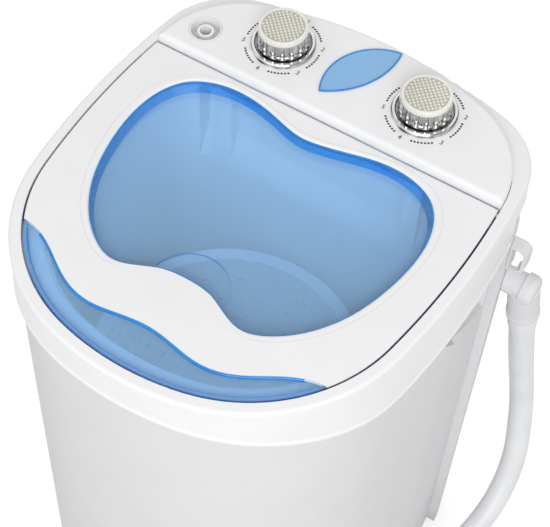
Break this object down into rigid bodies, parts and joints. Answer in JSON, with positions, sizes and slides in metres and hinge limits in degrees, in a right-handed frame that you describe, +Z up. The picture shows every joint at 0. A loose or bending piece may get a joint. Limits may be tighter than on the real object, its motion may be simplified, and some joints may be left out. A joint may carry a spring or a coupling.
{
  "type": "mini washing machine",
  "caption": "Portable top-loading washer: barrel body, blue-windowed hinged lid, tilted panel with timer knobs, tub with spin basket, belt drive and side drain hose.",
  "frame": {"origin": "on the floor under the middle of the casing", "axes": "+Z up, the front of the machine faces -Y, +X to the right seen from the front"},
  "size_m": [0.4072, 0.394, 0.5935],
  "materials": {
    "white_plastic": "glossy white moulded plastic",
    "body_plastic": "glossy pale grey-white moulded plastic",
    "blue_clear": "clear blue plastic",
    "tub_plastic": "smooth white plastic",
    "basket_plastic": "milky plastic",
    "knob_chrome": "chrome-plated plastic",
    "knob_ivory": "pale ivory plastic with a fine raised grid",
    "hose_plastic": "satin pale grey soft plastic",
    "grey_plastic": "dark grey moulded plastic",
    "steel": "bright zinc-plated steel",
    "bronze": "sintered bronze",
    "rubber": "matt black rubber",
    "motor_metal": "cast and drawn grey metal"
  },
  "bodies": {
    "cabinet": {"body_shell": "body_plastic", "rear_shell": "body_plastic", "base_plate": "body_plastic", "feet": "rubber", "base_screws": "steel", "top_collar": "white_plastic", "control_panel": "white_plastic", "leaf_lens": "blue_clear", "inlet_cup": "white_plastic", "inlet_nozzle": "white_plastic", "inlet_pipe": "hose_plastic", "wash_tub": "tub_plastic", "shaft_seal": "rubber", "bearing_housing": "grey_plastic", "housing_screws": "steel", "upper_bush": "bronze", "lower_bush": "bronze", "drive_belt": "rubber", "motor": "motor_metal", "motor_bracket": "steel", "motor_mounts": "rubber", "motor_screws": "steel", "capacitor": "motor_metal", "capacitor_cup": "grey_plastic", "drain_strainer": "tub_plastic", "drain_sump": "tub_plastic", "drain_pipe": "hose_plastic", "drain_outlet": "body_plastic", "drain_hose": "hose_plastic", "hose_cuff": "hose_plastic", "hose_elbow": "body_plastic", "hose_clip": "body_plastic", "cord_gland": "rubber", "wash_timer": "grey_plastic", "spin_timer": "grey_plastic", "wash_knob_bezel": "knob_chrome", "spin_knob_bezel": "knob_chrome"},
    "lid": {"lid_frame": "white_plastic", "lid_window": "blue_clear", "hinge_pins": "steel", "lid_buffers": "rubber"},
    "wash_knob": {"wash_knob_skirt": "knob_chrome", "wash_knob_cap": "knob_ivory", "wash_timer_shaft": "steel"},
    "spin_knob": {"spin_knob_skirt": "knob_chrome", "spin_knob_cap": "knob_ivory", "spin_timer_shaft": "steel"},
    "drum": {"pulsator": "tub_plastic", "pulsator_screw": "steel", "spin_basket": "basket_plastic", "drive_shaft": "steel", "driven_pulley": "grey_plastic", "pulley_nut": "steel"},
    "rotor": {"motor_shaft": "steel", "motor_pulley": "grey_plastic"}
  },
  "joints": [
    {"name": "lid_hinge", "type": "hinge", "parent": "cabinet", "child": "lid", "pos_m": [0, 0.0863, 0.5553], "axis": [-1, 0, 0], "range_deg": [0, 95]},
    {"name": "wash_knob_turn", "type": "hinge", "parent": "cabinet", "child": "wash_knob", "pos_m": [-0.0665, 0.13691, 0.56953], "axis": [0, 0.0628, -0.998], "range_deg": [0, 300]},
    {"name": "spin_knob_turn", "type": "hinge", "parent": "cabinet", "child": "spin_knob", "pos_m": [0.0665, 0.13691, 0.56953], "axis": [0, 0.0628, -0.998], "range_deg": [0, 300]},
    {"name": "drum_spin", "type": "hinge", "parent": "cabinet", "child": "drum", "pos_m": [0, -0.042, 0.2], "axis": [0, 0, 1], "continuous": true},
    {"name": "rotor_spin", "type": "hinge", "parent": "cabinet", "child": "rotor", "pos_m": [0, 0.098, 0.1], "axis": [0, 0, 1], "continuous": true}
  ],
  "couplings": [
    {"joint": "rotor_spin", "follows": "drum_spin", "ratio": 3.8105}
  ]
}
